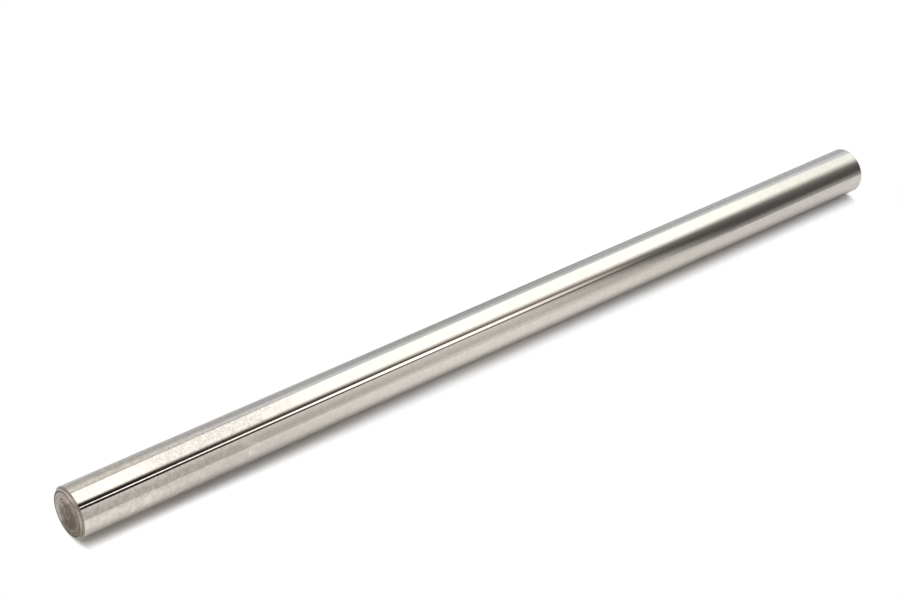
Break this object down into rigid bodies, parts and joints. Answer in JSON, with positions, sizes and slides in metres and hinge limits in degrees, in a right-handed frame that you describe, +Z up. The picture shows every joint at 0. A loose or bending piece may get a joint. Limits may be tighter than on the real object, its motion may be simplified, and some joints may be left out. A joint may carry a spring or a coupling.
{
  "type": "shifter shaft",
  "caption": "Plain round shifter shaft of polished ground steel with chamfered, faced ends, lying on its side.",
  "frame": {"origin": "on the surface the shaft rests on, under the middle of its length", "axes": "+X along the shaft's axis, which runs level at half a diameter above the surface, +Z up, +Y across the shaft"},
  "size_m": [0.304, 0.015, 0.015],
  "materials": {
    "polished_steel": "ground and polished, with faced ends"
  },
  "bodies": {
    "root": {"shaft": "polished_steel"}
  },
  "joints": []
}
